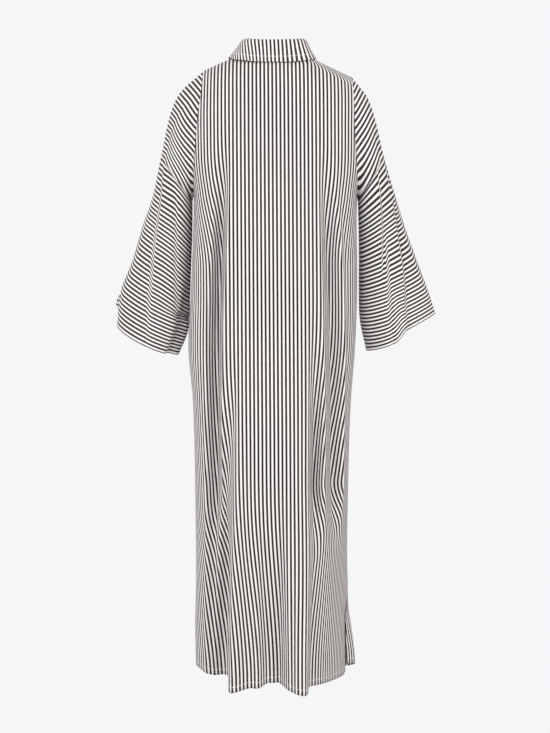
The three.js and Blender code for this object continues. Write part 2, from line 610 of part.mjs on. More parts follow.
function rollHeight(angle) {
  const back = Math.max(cosine(angle), 0) ** 2;
  const front = Math.max(-cosine(angle), 0) ** LAP_POWER;
  return ROLL_HEIGHT - ROLL_BACK_DROP * back - ROLL_FRONT_DROP * front;
}

// Stand: an upright band; its right end laps over its left end at the front
const standGrid = [0, 0.5, 1].map((up) => evenColumns(-STAND_END, STAND_END, COLLAR_COLUMNS)
  .map((angle) => {
    const lap = (COLLAR_WALL + SEAM_GAP) * ease((-angle - LAP_FROM) / (LAP_FULL - LAP_FROM));
    const foot = neckPlace(angle, NECK_HALF_WIDTH, NECK_BACK_DEPTH, NECK_FRONT_DEPTH, lap);
    const head = neckPlace(angle, ROLL_HALF_WIDTH, ROLL_BACK_DEPTH, ROLL_FRONT_DEPTH, lap);
    const overBand = BAND_RAISE * ease((Math.abs(angle) - OVER_BAND_FROM) / OVER_BAND_RISE);
    const z = mix(neckHeight(angle) + STAND_CLEAR + overBand, rollHeight(angle), up);
    return new THREE.Vector3(mix(foot.x, head.x, up), mix(foot.y, head.y, up), z);
  }));
function outwardFromNeck(grid) {
  const normals = gridNormals(grid, false);
  const middle = Math.floor(grid[0].length / 2);
  const turned = normals[1][middle].y < 0 ? -1 : 1;
  normals.forEach((line) => line.forEach((normal) => normal.multiplyScalar(turned)));
  return normals;
}
const standNormals = outwardFromNeck(standGrid);
standNormals.forEach((line) => line.forEach((normal) => normal.setZ(0).normalize()));
addPiece('collar_stand', wallGeometry(standGrid, standNormals, COLLAR_WALL), STRIPED);

// Fall: over the roll line and down outside the stand, deeper at its front points
const fallGrid = FALL_PROFILE.map((row) => evenColumns(-FALL_END, FALL_END, COLLAR_COLUMNS)
  .map((angle) => {
    const flare = columnAt(FALL_SHAPE, 'angle', 'flare', Math.abs(angle));
    const height = columnAt(FALL_SHAPE, 'angle', 'height', Math.abs(angle));
    const shown = flare * mix(FLARE_RIGHT, 1, (1 + sine(angle)) / 2);
    const place = neckPlace(angle, ROLL_HALF_WIDTH, ROLL_BACK_DEPTH, ROLL_FRONT_DEPTH,
      row.stand + row.out * shown, FALL_SQUARE);
    const z = rollHeight(angle) + COLLAR_WALL + FALL_CLEAR + row.rise - row.down * height;
    return new THREE.Vector3(place.x, place.y, z);
  }));
const fallNormals = outwardFromNeck(fallGrid);
fallNormals[0].forEach((normal) => normal.set(0, 0, 1));
addPiece('collar_fall', wallGeometry(fallGrid, fallNormals, COLLAR_WALL), STRIPED);

// Buttons: small dished discs that lie on the band, and one on the stand
function buttonGeometry() {
  const half = BUTTON_THICK / 2;
  const rim = BUTTON_RADIUS;
  const profile = [
    [0, 0], [rim * 0.86, 0], [rim, half * 0.7], [rim, half * 1.5],
    [rim * 0.84, BUTTON_THICK], [rim * 0.6, half * 1.4], [0, half * 1.4],
  ].map(([radius, height]) => new THREE.Vector2(radius, height));
  const geometry = new THREE.LatheGeometry(profile, BUTTON_SIDES);
  return mergedLathe(geometry);
}
function mergedLathe(geometry) {
  geometry.deleteAttribute('normal');
  geometry.deleteAttribute('uv');
  return mergeVertices(geometry, 1e-4);
}
function addButton(name, place, outward) {
  const button = addPiece(name, buttonGeometry(), HORN);
  button.position.copy(place);
  button.quaternion.setFromUnitVectors(new THREE.Vector3(0, 1, 0), outward);
}
for (let k = 0; k < BUTTON_COUNT; k += 1) {
  const level = FIRST_BUTTON - BUTTON_PITCH * k;
  const row = LEVELS.findIndex((value) => value < level);
  const part = (level - LEVELS[row - 1]) / (LEVELS[row] - LEVELS[row - 1]);
  const between = (grid, i) => grid[i][1].clone().add(grid[i][BAND_COLUMNS - 1]).multiplyScalar(0.5);
  const place = between(bandGrid, row - 1).lerp(between(bandGrid, row), part);
  const outward = between(bandNormals, row - 1).lerp(between(bandNormals, row), part).normalize();
  place.addScaledVector(outward, BAND_RAISE + SEAM_GAP);
  addButton(`button_${String(k + 1).padStart(2, '0')}`, place, outward);
}
const tabPlace = standGrid[1][0].clone().lerp(standGrid[1][1], STAND_BUTTON_IN);
const tabOutward = standNormals[1][0].clone().add(standNormals[1][1]).normalize();
addButton('button_collar', tabPlace.addScaledVector(tabOutward, STAND_BUTTON_RISE), tabOutward);

export default group;
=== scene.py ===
import math
from collections import namedtuple

import bmesh
import bpy
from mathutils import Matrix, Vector


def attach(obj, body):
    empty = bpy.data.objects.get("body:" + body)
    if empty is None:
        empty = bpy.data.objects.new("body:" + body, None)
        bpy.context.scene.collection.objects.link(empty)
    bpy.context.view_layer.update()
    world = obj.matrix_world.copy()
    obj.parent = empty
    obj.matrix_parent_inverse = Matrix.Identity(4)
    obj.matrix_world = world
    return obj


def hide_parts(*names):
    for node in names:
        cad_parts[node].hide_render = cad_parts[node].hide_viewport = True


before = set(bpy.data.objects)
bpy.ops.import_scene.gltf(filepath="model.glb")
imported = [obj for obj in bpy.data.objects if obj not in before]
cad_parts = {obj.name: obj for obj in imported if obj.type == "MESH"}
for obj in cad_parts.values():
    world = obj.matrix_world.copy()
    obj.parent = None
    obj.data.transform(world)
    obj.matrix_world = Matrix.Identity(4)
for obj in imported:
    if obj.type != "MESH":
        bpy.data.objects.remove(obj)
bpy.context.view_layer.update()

# Camera: behind the dress, level with its middle, as far off as the photograph was taken.
# The dress's mid-plane, y = 0, shows at 2.15 mm to the pixel on a frame of 550 by 733.
MM_PER_PIXEL = 2.15
FRAME_HEIGHT = 733 * MM_PER_PIXEL / 1000
CAMERA_DISTANCE = 3.4
CAMERA_HEIGHT = -0.633
CAMERA_ACROSS = -0.002
SENSOR = 36.0

camera_data = bpy.data.cameras.new("camera")
camera_data.sensor_fit = "VERTICAL"
camera_data.sensor_height = SENSOR
camera_data.lens = SENSOR * CAMERA_DISTANCE / FRAME_HEIGHT
camera = bpy.data.objects.new("camera", camera_data)
bpy.context.collection.objects.link(camera)
camera.location = (CAMERA_ACROSS, CAMERA_DISTANCE, CAMERA_HEIGHT)
camera.rotation_euler = (math.radians(90), 0, math.radians(180))
bpy.context.scene.camera = camera


# Striped shirting: plain-woven cotton, dark brown-black and white stripes of equal width.
# The pieces carry a UV map in metres: U runs across the stripes and V along them.
STRIPE_REPEAT = 0.0083
DARK_SHARE = 0.515
STRIPE_SOFT = 0.035
THREAD = 0.00042
DARK = (0.034, 0.0235, 0.0245, 1)
WHITE = (0.90, 0.895, 0.89, 1)
THREAD_WHITE = (0.84, 0.83, 0.825, 1)
HEM_STITCH_HEIGHT = 0.012
STITCH_LENGTH = 0.003
STITCH_WIDTH = 0.0004


def add_node(tree, kind, **settings):
    node = tree.nodes.new(kind)
    for name, value in settings.items():
        setattr(node, name, value)
    return node


def calculate(tree, operation, *values):
    node = add_node(tree, "ShaderNodeMath", operation=operation)
    for socket, value in zip(node.inputs, values):
        if isinstance(value, (int, float)):
            socket.default_value = value
        else:
            tree.links.new(value, socket)
    return node.outputs[0]


def new_group(name, inputs, outputs):
    tree = bpy.data.node_groups.new(name, "ShaderNodeTree")
    for label, kind in inputs:
        tree.interface.new_socket(label, in_out="INPUT", socket_type=kind)
    for label, kind in outputs:
        tree.interface.new_socket(label, in_out="OUTPUT", socket_type=kind)
    return tree, tree.nodes.new("NodeGroupInput"), tree.nodes.new("NodeGroupOutput")


FLOAT = "NodeSocketFloat"

# Woven stripes: a mask that is 1 on the white and 0 on the dark, with edges as soft as the yarn
stripes, stripes_in, stripes_out = new_group(
    "woven stripes", [("Across", FLOAT), ("Repeat", FLOAT), ("Dark share", FLOAT)], [("White", FLOAT)])
turns = calculate(stripes, "DIVIDE", stripes_in.outputs["Across"], stripes_in.outputs["Repeat"])
saw = calculate(stripes, "FRACT", calculate(stripes, "ADD", turns, 0.5))
from_dark = calculate(stripes, "ABSOLUTE", calculate(stripes, "SUBTRACT", saw, 0.5))
half_dark = calculate(stripes, "MULTIPLY", stripes_in.outputs["Dark share"], 0.5)
soft = add_node(stripes, "ShaderNodeMapRange", interpolation_type="SMOOTHSTEP")
stripes.links.new(from_dark, soft.inputs["Value"])
stripes.links.new(calculate(stripes, "SUBTRACT", half_dark, STRIPE_SOFT), soft.inputs["From Min"])
stripes.links.new(calculate(stripes, "ADD", half_dark, STRIPE_SOFT), soft.inputs["From Max"])
stripes.links.new(soft.outputs[0], stripes_out.inputs["White"])

# Plain weave: threads over and under, with slubs, as a height and a slight change of shade
weave, weave_in, weave_out = new_group(
    "plain weave", [("Across", FLOAT), ("Along", FLOAT), ("Thread", FLOAT)],
    [("Height", FLOAT), ("Shade", FLOAT)])
warp = calculate(weave, "SINE", calculate(
    weave, "MULTIPLY", calculate(weave, "DIVIDE", weave_in.outputs["Across"],
                                 weave_in.outputs["Thread"]), math.pi))
weft = calculate(weave, "SINE", calculate(
    weave, "MULTIPLY", calculate(weave, "DIVIDE", weave_in.outputs["Along"],
                                 weave_in.outputs["Thread"]), math.pi))
over_under = calculate(weave, "MULTIPLY", warp, weft)
slub_place = add_node(weave, "ShaderNodeCombineXYZ")
weave.links.new(calculate(weave, "MULTIPLY", weave_in.outputs["Across"], 1500), slub_place.inputs["X"])
weave.links.new(calculate(weave, "MULTIPLY", weave_in.outputs["Along"], 90), slub_place.inputs["Y"])
slub = add_node(weave, "ShaderNodeTexNoise")
slub.inputs["Scale"].default_value = 1
slub.inputs["Detail"].default_value = 2
weave.links.new(slub_place.outputs[0], slub.inputs["Vector"])
height = calculate(weave, "ADD", calculate(weave, "MULTIPLY", over_under, 0.5), slub.outputs["Fac"])
weave.links.new(height, weave_out.inputs["Height"])
weave.links.new(slub.outputs["Fac"], weave_out.inputs["Shade"])

# Stitch row: a dashed line of thread that lies a set height above a hem
stitches, stitches_in, stitches_out = new_group(
    "stitch row", [("Height above", FLOAT), ("Along", FLOAT)], [("Thread", FLOAT), ("Groove", FLOAT)])
off_line = calculate(stitches, "ABSOLUTE", calculate(
    stitches, "SUBTRACT", stitches_in.outputs["Height above"], HEM_STITCH_HEIGHT))
on_line = calculate(stitches, "LESS_THAN", off_line, STITCH_WIDTH)
beat = calculate(stitches, "FRACT", calculate(
    stitches, "DIVIDE", stitches_in.outputs["Along"], STITCH_LENGTH))
on_stitch = calculate(stitches, "LESS_THAN", beat, 0.78)
stitches.links.new(calculate(stitches, "MULTIPLY", on_line, on_stitch), stitches_out.inputs["Thread"])
groove = add_node(stitches, "ShaderNodeMapRange", interpolation_type="SMOOTHSTEP")
stitches.links.new(off_line, groove.inputs["Value"])
groove.inputs["From Max"].default_value = 0.0016
stitches.links.new(groove.outputs[0], stitches_out.inputs["Groove"])


def use_group(tree, group, **links):
    node = add_node(tree, "ShaderNodeGroup", node_tree=group)
    for name, value in links.items():
        socket = node.inputs[name.replace("_", " ")]
        if isinstance(value, (int, float)):
            socket.default_value = value
        else:
            tree.links.new(value, socket)
    return node


def striped_cloth(name, hem_runs):
    """Shirting; hem_runs is U or V, the direction that climbs from a piece's stitched hem."""
    material = bpy.data.materials.new(name)
    material.use_nodes = True
    tree = material.node_tree
    shader = tree.nodes["Principled BSDF"]
    place = add_node(tree, "ShaderNodeUVMap", uv_map="cut")
    split = add_node(tree, "ShaderNodeSeparateXYZ")
    tree.links.new(place.outputs[0], split.inputs[0])
    across, along = split.outputs["X"], split.outputs["Y"]
    stripe = use_group(tree, stripes, Across=across, Repeat=STRIPE_REPEAT, Dark_share=DARK_SHARE)
    cloth = use_group(tree, weave, Across=across, Along=along, Thread=THREAD)
    sewn = use_group(
        tree, stitches, Height_above=across if hem_runs == "U" else along,
        Along=along if hem_runs == "U" else across)
    white = add_node(tree, "ShaderNodeMix", data_type="RGBA")
    tree.links.new(cloth.outputs["Shade"], white.inputs["Factor"])
    white.inputs["A"].default_value = THREAD_WHITE
    white.inputs["B"].default_value = WHITE
    colour = add_node(tree, "ShaderNodeMix", data_type="RGBA")
    tree.links.new(stripe.outputs["White"], colour.inputs["Factor"])
    colour.inputs["A"].default_value = DARK
    tree.links.new(white.outputs["Result"], colour.inputs["B"])
    threaded = add_node(tree, "ShaderNodeMix", data_type="RGBA")
    tree.links.new(sewn.outputs["Thread"], threaded.inputs["Factor"])
    tree.links.new(colour.outputs["Result"], threaded.inputs["A"])
    threaded.inputs["B"].default_value = THREAD_WHITE
    tree.links.new(threaded.outputs["Result"], shader.inputs["Base Color"])
    relief = calculate(tree, "ADD", cloth.outputs["Height"],
                       calculate(tree, "MULTIPLY", sewn.outputs["Groove"], 3.0))
    bump = add_node(tree, "ShaderNodeBump")
    bump.inputs["Strength"].default_value = 0.35
    bump.inputs["Distance"].default_value = 0.00012
    tree.links.new(relief, bump.inputs["Height"])
    tree.links.new(bump.outputs[0], shader.inputs["Normal"])
    shader.inputs["Roughness"].default_value = 0.88
    shader.inputs["Sheen Weight"].default_value = 0.08
    shader.inputs["Sheen Roughness"].default_value = 0.5
    shader.inputs["Specular IOR Level"].default_value = 0.25
    return material


# Body shape: the ring of the dress at each height, and the folds that run down it. The back
# and the fronts are cut to meet at the side seams and shoulders, and hang in soft folds.
FRONT_SQUARE = 2.5
TANGENT_REACH = 0.008
FOLDS_FACE_OUT = 2.0
SHOULDER_ROUND = 0.084
LEVEL_FROM = 0.420
UNDERARM = -0.267
HEM = -1.298
NECK_HALF_WIDTH = 0.072
NECK_BACK_DEPTH = 0.060
NECK_FRONT_DEPTH = 0.072
NECK_HEIGHT = 0.033
NECK_FRONT_DIP = 0.034
SHOULDER_LEFT = 0.155
SHOULDER_RIGHT = 0.171
SHOULDER_DROP_LEFT = 0
SHOULDER_DROP_RIGHT = 0.014
SHOULDER_CURVE_LEFT = 1.2
SHOULDER_CURVE_RIGHT = 0.95

Section = namedtuple("Section", "z left right back front square")
BODY_SECTIONS = [
    Section(0.040, 0.1700, 0.1860, 0.090, 0.088, 2.50),
    Section(-0.050, 0.1760, 0.1930, 0.098, 0.100, 2.50),
    Section(-0.115, 0.1840, 0.1920, 0.105, 0.112, 2.50),
    Section(-0.190, 0.1820, 0.1890, 0.110, 0.122, 2.50),
    Section(-0.267, 0.1725, 0.1780, 0.112, 0.124, 2.50),
    Section(-0.462, 0.1780, 0.1785, 0.112, 0.114, 2.50),
    Section(-0.590, 0.1840, 0.1740, 0.114, 0.110, 2.40),
    Section(-0.700, 0.1750, 0.1655, 0.119, 0.112, 2.20),
    Section(-0.813, 0.1710, 0.1610, 0.126, 0.114, 1.95),
    Section(-1.028, 0.1680, 0.1590, 0.140, 0.118, 1.60),
    Section(-1.160, 0.1680, 0.1620, 0.147, 0.121, 1.45),
    Section(-1.320, 0.1660, 0.1650, 0.152, 0.124, 1.36),
]

Reach = namedtuple("Reach", "z degrees")
ARMHOLE_REACH = [
    Reach(0.040, 58), Reach(-0.060, 58), Reach(-0.130, 60),
    Reach(-0.195, 66), Reach(-0.240, 77), Reach(-0.267, 90),
]

# Where each fold starts and is full, where it lies round the ring at its top and at the hem,
# its half width at both, how far it stands out (- is a trough) and leans to the left, and the
# share of it that is left at the hem
Fold = namedtuple("Fold", "top full at_top at_hem width width_hem out lean kept")
BACK_FOLDS = [
    Fold(-0.150, -0.430, 0.106, 0.158, 0.021, 0.034, -0.034, 0, 0.5),
    Fold(-0.170, -0.520, 0.086, 0.116, 0.020, 0.020, 0.009, 0.007, 0),
    Fold(-0.560, -1.100, 0.084, 0.131, 0.016, 0.036, -0.038, 0, 1),
    Fold(-0.560, -1.150, 0.058, 0.086, 0.032, 0.036, 0.034, 0.008, 1),
    Fold(-0.760, -1.280, 0.020, 0.014, 0.026, 0.025, -0.032, 0, 1),
    Fold(-0.760, -1.280, -0.004, -0.011, 0.022, 0.025, -0.034, 0, 1),
    Fold(-0.840, -1.280, -0.038, -0.035, 0.020, 0.018, 0.012, 0, 1),
    Fold(-0.840, -1.280, -0.057, -0.051, 0.020, 0.018, 0.031, 0, 1),
    Fold(-0.840, -1.280, -0.076, -0.067, 0.020, 0.018, 0.036, 0, 1),
    Fold(-0.470, -0.900, -0.086, -0.100, 0.018, 0.028, -0.034, 0, 0),
    Fold(-0.160, -0.430, -0.106, -0.165, 0.019, 0.034, -0.028, 0, 0),
    Fold(-0.170, -0.430, -0.126, -0.190, 0.020, 0.024, 0.007, -0.006, 0),
]
FRONT_FOLDS = [
    Fold(-0.250, -0.600, 0.108, 0.150, 0.024, 0.032, -0.030, 0, 0.7),
    Fold(-0.420, -0.900, 0.078, 0.092, 0.028, 0.036, 0.018, 0.006, 1),
    Fold(-0.700, -1.150, 0.048, 0.050, 0.020, 0.026, -0.016, 0, 1),
    Fold(-0.600, -1.100, -0.060, -0.064, 0.024, 0.030, -0.022, 0, 1),
    Fold(-0.380, -0.950, -0.094, -0.106, 0.028, 0.034, 0.018, -0.006, 1),
    Fold(-0.260, -0.620, -0.118, -0.152, 0.024, 0.030, -0.028, 0, 0.7),
]
FADE_FROM = -0.870
FADE_TO = -1.040
HEM_SWAY = 0.25

# The slits at the sides: how far each corner of a panel spreads sideways, swings to the back,
# bulges before its edge, and rises at the hem
SLIT_TOP = -1.090
SLIT_REACH = 0.046
SWING_REACH = 0.130
BULGE_REACH = 0.070
SlitEdge = namedtuple("SlitEdge", "spread swing bulge rise")
SLIT_EDGES = {
    (1, 1): SlitEdge(0.002, 0, 0, 0.024),
    (1, -1): SlitEdge(-0.009, 0, 0, 0.018),
    (-1, 1): SlitEdge(-0.009, -0.006, 0, 0),
    (-1, -1): SlitEdge(-0.006, -0.002, 0.017, 0.018),
}
RISE_REACH = 0.100
SPREAD_FIRST = 2.5
SWING_LATE = 2.5
SEAM_SWING = -0.042
SEAM_SWING_FROM = -0.810
SEAM_SWING_FULL = -1.060
SHOULDER_PULL = 0.016
PULL_DEPTH = 0.024
STRAIGHT_GRAIN_TOP = -0.029
STRAIGHT_GRAIN_HEM = -0.037


def mix(a, b, part):
    return a + (b - a) * part


def ease(part):
    part = min(1.0, max(0.0, part))
    return part * part * (3 - 2 * part)


def column_at(rows, column, place):
    """Value of a column of a table at a place in its first column, on a smooth curve."""
    rising = rows[-1][0] > rows[0][0]
    last = len(rows) - 1
    following = next((i for i, row in enumerate(rows)
                      if (row[0] >= place if rising else row[0] <= place)), None)
    if following == 0:
        return getattr(rows[0], column)
    if following is None:
        return getattr(rows[last], column)
    a, b = rows[following - 1], rows[following]
    before, after = rows[max(following - 2, 0)], rows[min(following + 1, last)]
    value_a, value_b = getattr(a, column), getattr(b, column)
    span = b[0] - a[0]
    slope_a = (value_b - getattr(before, column)) / (b[0] - before[0]) * span
    slope_b = (getattr(after, column) - value_a) / (after[0] - a[0]) * span
    q = (place - a[0]) / span
    return (value_a + (value_b - value_a) * q * q * (3 - 2 * q)
            + slope_a * q * (1 - q) ** 2 - slope_b * q * q * (1 - q))


class Ring:
    """The plain ring of one face at one height, measured from its centre line."""

    def __init__(self, face, level):
        self.face = face
        depth = column_at(BODY_SECTIONS, "back" if face > 0 else "front", level)
        widths = {1: column_at(BODY_SECTIONS, "left", level),
                  -1: column_at(BODY_SECTIONS, "right", level)}
        square = column_at(BODY_SECTIONS, "square", level) if face > 0 else FRONT_SQUARE
        self.points = []
        for turn in range(-90, 91, 2):
            angle = math.radians(abs(turn))
            side = 1 if turn > 0 else -1
            across = widths[side] * math.sin(angle) ** (2 / square)
            deep = depth * max(math.cos(angle), 0) ** (2 / square)
            self.points.append(Vector((side * across, face * deep)))
        self.along = [0.0] * len(self.points)
        for i in range(46, 91):
            self.along[i] = self.along[i - 1] + (self.points[i] - self.points[i - 1]).length
        for i in range(44, -1, -1):
            self.along[i] = self.along[i + 1] - (self.points[i] - self.points[i + 1]).length

    def point(self, distance):
        i = next((k for k, value in enumerate(self.along) if value > distance), len(self.along) - 1)
        i = max(i, 1)
        part = (distance - self.along[i - 1]) / (self.along[i] - self.along[i - 1])
        return self.points[i - 1].lerp(self.points[i], min(1, max(0, part)))

    def at(self, distance):
        along = self.point(distance + TANGENT_REACH) - self.point(distance - TANGENT_REACH)
        return self.point(distance), along.normalized()

    def distance_at_turn(self, turn):
        place = (turn + 90) / 2
        i = min(int(place), len(self.along) - 2)
        return mix(self.along[i], self.along[i + 1], place - i)

    def edge(self, side, level):
        reach = column_at(ARMHOLE_REACH, "degrees", level) if level > UNDERARM else 90
        return self.distance_at_turn(side * reach)


def fold_shift(folds, distance, level):
    out = 0.0
    lean = 0.0
    for fold in folds:
        if level >= fold.top:
            continue
        down = min(1.0, (fold.top - level) / (fold.top - HEM))
        q = (distance - mix(fold.at_top, fold.at_hem, down)) / mix(fold.width, fold.width_hem, down)
        if abs(q) < 1:
            bump = ease((fold.top - level) / (fold.top - fold.full)) * math.cos(q * math.pi / 2) ** 2
            bump *= mix(1, fold.kept, ease((FADE_FROM - level) / (FADE_FROM - FADE_TO)))
            out += fold.out * bump
            lean += fold.lean * bump
    return out, lean


def plan_point(ring, distance, level):
    """A point of the folded ring in plan, before the cloth turns over the shoulder."""
    point, along = ring.at(distance)
    outward = Vector((-along.y, along.x))
    if outward.y * ring.face < 0:
        outward.negate()
    outward = (outward + Vector((0, ring.face * FOLDS_FACE_OUT))).normalized()
    out, lean = fold_shift(BACK_FOLDS if ring.face > 0 else FRONT_FOLDS, distance, level)
    return point + outward * out + along * lean


def shoulder_height(x, face):
    edge = SHOULDER_LEFT if x > 0 else SHOULDER_RIGHT
    drop = SHOULDER_DROP_LEFT if x > 0 else SHOULDER_DROP_RIGHT
    curve = SHOULDER_CURVE_LEFT if x > 0 else SHOULDER_CURVE_RIGHT
    slope = max(0.0, (abs(x) - NECK_HALF_WIDTH) / (edge - NECK_HALF_WIDTH)) ** curve
    near_neck = max(0.0, 1 - (x / NECK_HALF_WIDTH) ** 2)
    return NECK_HEIGHT - (NECK_HEIGHT + drop) * slope - (NECK_FRONT_DIP * near_neck if face < 0 else 0)


def edge_shift(face, distance, edge, level):
    """How far a slit, and the right seam's swing to the front, move a point near them."""
    side = 1 if distance > 0 else -1
    opened = ease((SLIT_TOP - level) / (SLIT_TOP - HEM))
    gap = abs(edge - distance)
    slit = SLIT_EDGES[side, face]
    bulge = opened * slit.bulge * math.sin(math.pi * min(1, gap / BULGE_REACH))
    spread = slit.spread * ease(opened * SPREAD_FIRST) * ease(1 - gap / SLIT_REACH)
    swing = slit.swing * opened ** SWING_LATE
    if side < 0:
        swing += SEAM_SWING * ease((SEAM_SWING_FROM - level) / (SEAM_SWING_FROM - SEAM_SWING_FULL))
    rise = slit.rise * opened ** 2 * ease(1 - gap / RISE_REACH)
    return Vector((side * (spread + bulge), swing * ease(1 - gap / SWING_REACH), rise))


def body_point(ring, distance, level):
    plan = plan_point(ring, distance, level)
    top = shoulder_height(plan.x, ring.face)
    if level > -SHOULDER_ROUND:
        near_neck = max(0.0, 1 - (plan.x / NECK_HALF_WIDTH) ** 2)
        neck = (NECK_BACK_DEPTH if ring.face > 0 else NECK_FRONT_DEPTH) * math.sqrt(near_neck)
        first = math.asin(min(neck / abs(plan.y), 1))
        turned = math.acos(1 + level / SHOULDER_ROUND) / (math.pi / 2)
        roll = mix(first, math.pi / 2, turned)
        z = top - SHOULDER_ROUND * (1 - math.cos(roll))
        return Vector((plan.x, plan.y * math.sin(roll), z))
    lift = top * (1 - ease((-level - SHOULDER_ROUND) / (LEVEL_FROM - SHOULDER_ROUND)))
    return Vector((plan.x, plan.y, level + lift))


def row_levels(shoulder_rows, rows_below):
    """Heights of a panel's rows: close together where the cloth turns over the shoulder."""
    turned = [-SHOULDER_ROUND * (1 - math.cos(math.pi / 2 * i / shoulder_rows))
              for i in range(shoulder_rows + 1)]
    below = [mix(-SHOULDER_ROUND, HEM, i / rows_below) for i in range(1, rows_below + 1)]
    return turned + below


def body_panel(name, face, start, end, columns, shoulder_rows=12, rows_below=150):
    """A panel of the body; start and end give its edges round the ring at one height."""
    levels = row_levels(shoulder_rows, rows_below)
    rows = len(levels)
    mesh = bmesh.new()
    bmesh.ops.create_grid(mesh, x_segments=columns, y_segments=rows - 1, size=1)
    cut = mesh.loops.layers.uv.new("cut")
    grid = {}
    for vert in mesh.verts:
        j = round((vert.co.x + 1) / 2 * columns)
        i = round((1 - vert.co.y) / 2 * (rows - 1))
        grid[i, j] = vert
    place = {}
    for i, level in enumerate(levels):
        ring = Ring(face, level)
        left, right = ring.edge(1, level), ring.edge(-1, level)
        low, high = start(ring, level), end(ring, level)
        down = min(1.0, max(0.0, -level / -HEM))
        grain = mix(STRAIGHT_GRAIN_TOP, STRAIGHT_GRAIN_HEM, down)
        distances = [mix(low, high, j / columns) for j in range(columns + 1)]
        shifts = [edge_shift(face, distance, left if distance > 0 else right, level)
                  for distance in distances]
        plans = [plan_point(ring, distance, level) + shift.xy
                 for distance, shift in zip(distances, shifts)]
        opened = ease((SLIT_TOP - level) / (SLIT_TOP - HEM))
        along = [0.0]
        for before, after in zip(plans, plans[1:]):
            along.append(along[-1] + (after - before).length)
        zero = plan_length_at(distances, along, grain)
        for j, distance in enumerate(distances):
            point = body_point(ring, distance, level) + shifts[j]
            folds = BACK_FOLDS if face > 0 else FRONT_FOLDS
            point.z -= HEM_SWAY * opened * fold_shift(folds, distance, level)[0]
            grid[i, j].co = point
            pulled = SHOULDER_PULL * ease(1 + level / PULL_DEPTH)
            pulled *= ease(-distance / NECK_HALF_WIDTH - 0.6)
            place[grid[i, j]] = (along[j] - zero - pulled, level - HEM)
    for polygon in mesh.faces:
        for loop in polygon.loops:
            loop[cut].uv = place[loop.vert]
    return finish_shell(name, mesh, face)


def plan_length_at(distances, along, wanted):
    for k in range(1, len(distances)):
        if distances[k] >= wanted:
            part = (wanted - distances[k - 1]) / (distances[k] - distances[k - 1])
            return mix(along[k - 1], along[k], part)
    return along[-1]


CLOTH_SHOWN = 0.0009


def finish_shell(name, mesh, face=None, outward=None, thickness=CLOTH_SHOWN):
    """Turn a sheet's faces outward, give it its thickness inward, and make it a piece."""
    mesh.normal_update()
    faces = list(mesh.faces)
    middle = faces[len(faces) // 2]
    away = outward(middle) if outward else Vector((0, face, 0))
    if middle.normal.dot(away) < 0:
        bmesh.ops.reverse_faces(mesh, faces=faces)
    data = bpy.data.meshes.new(name)
    mesh.to_mesh(data)
    mesh.free()
    for polygon in data.polygons:
        polygon.use_smooth = True
    piece = bpy.data.objects.new(name, data)
    bpy.context.collection.objects.link(piece)
    wall = piece.modifiers.new("cloth", "SOLIDIFY")
    wall.thickness = thickness
    wall.offset = -1
    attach(piece, "root")
    return piece


body_cloth = striped_cloth("body cloth", "V")

# Back: one panel from the shoulders and neck to the hem, cut along the stripes. Its sides end
# at the armholes and side seams, and its hem is turned up and stitched.
back = body_panel("back_cloth", 1, lambda ring, level: ring.edge(-1, level),
                  lambda ring, level: ring.edge(1, level), columns=180)
back.data.materials.append(body_cloth)
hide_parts("back")

# Fronts: the right one laps over the left at the centre, and the left one sinks under it there.
# Both are cut along the stripes like the back, and join it at the shoulders and side seams.
OVERLAP = 0.016
FRONT_STEP = 0.0017
UNDERLAP_CLEAR = 0.004
UNDERLAP_BLEND = 0.040

front_right = body_panel("front_right_cloth", -1, lambda ring, level: ring.edge(-1, level),
                         lambda ring, level: OVERLAP, columns=84)
front_right.data.materials.append(body_cloth)
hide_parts("front_right")

front_left = body_panel("front_left_cloth", -1, lambda ring, level: -OVERLAP,
                        lambda ring, level: ring.edge(1, level), columns=84)
for vert in front_left.data.vertices:
    past = max(vert.co.x - OVERLAP, 0)
    sink = FRONT_STEP * (1 - ease((past - UNDERLAP_CLEAR) / UNDERLAP_BLEND))
    vert.co.y += sink
front_left.data.materials.append(body_cloth)
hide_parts("front_left")


# Front band: a straight strip of the same cloth, folded double, stitched along both edges on
# the right front from the neck to the hem. The buttons fasten through it.
BAND_WALL = 0.0016
BAND_RAISE = 0.0019
front_band = body_panel("front_band_cloth", -1, lambda ring, level: -OVERLAP,
                        lambda ring, level: OVERLAP, columns=14)
band_normals = [vert.normal.copy() for vert in front_band.data.vertices]
for vert, normal in zip(front_band.data.vertices, band_normals):
    vert.co += normal * BAND_RAISE
front_band.modifiers["cloth"].thickness = BAND_WALL
front_band.data.materials.append(striped_cloth("band cloth", "V"))
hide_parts("front_band")


# Sleeves: short and wide, set in at the armholes and cut with the stripes across the arm. They
# are pressed flat from front to back, crease where they bend, and end in a narrow stitched hem.
CAP_LENGTH = 0.3
ARMHOLE_GAP = 0.0005
ARMHOLE_ROWS = 12
SHOULDER_PART = 4
SLEEVE_COLUMNS = 240
SLEEVE_ROWS = 150

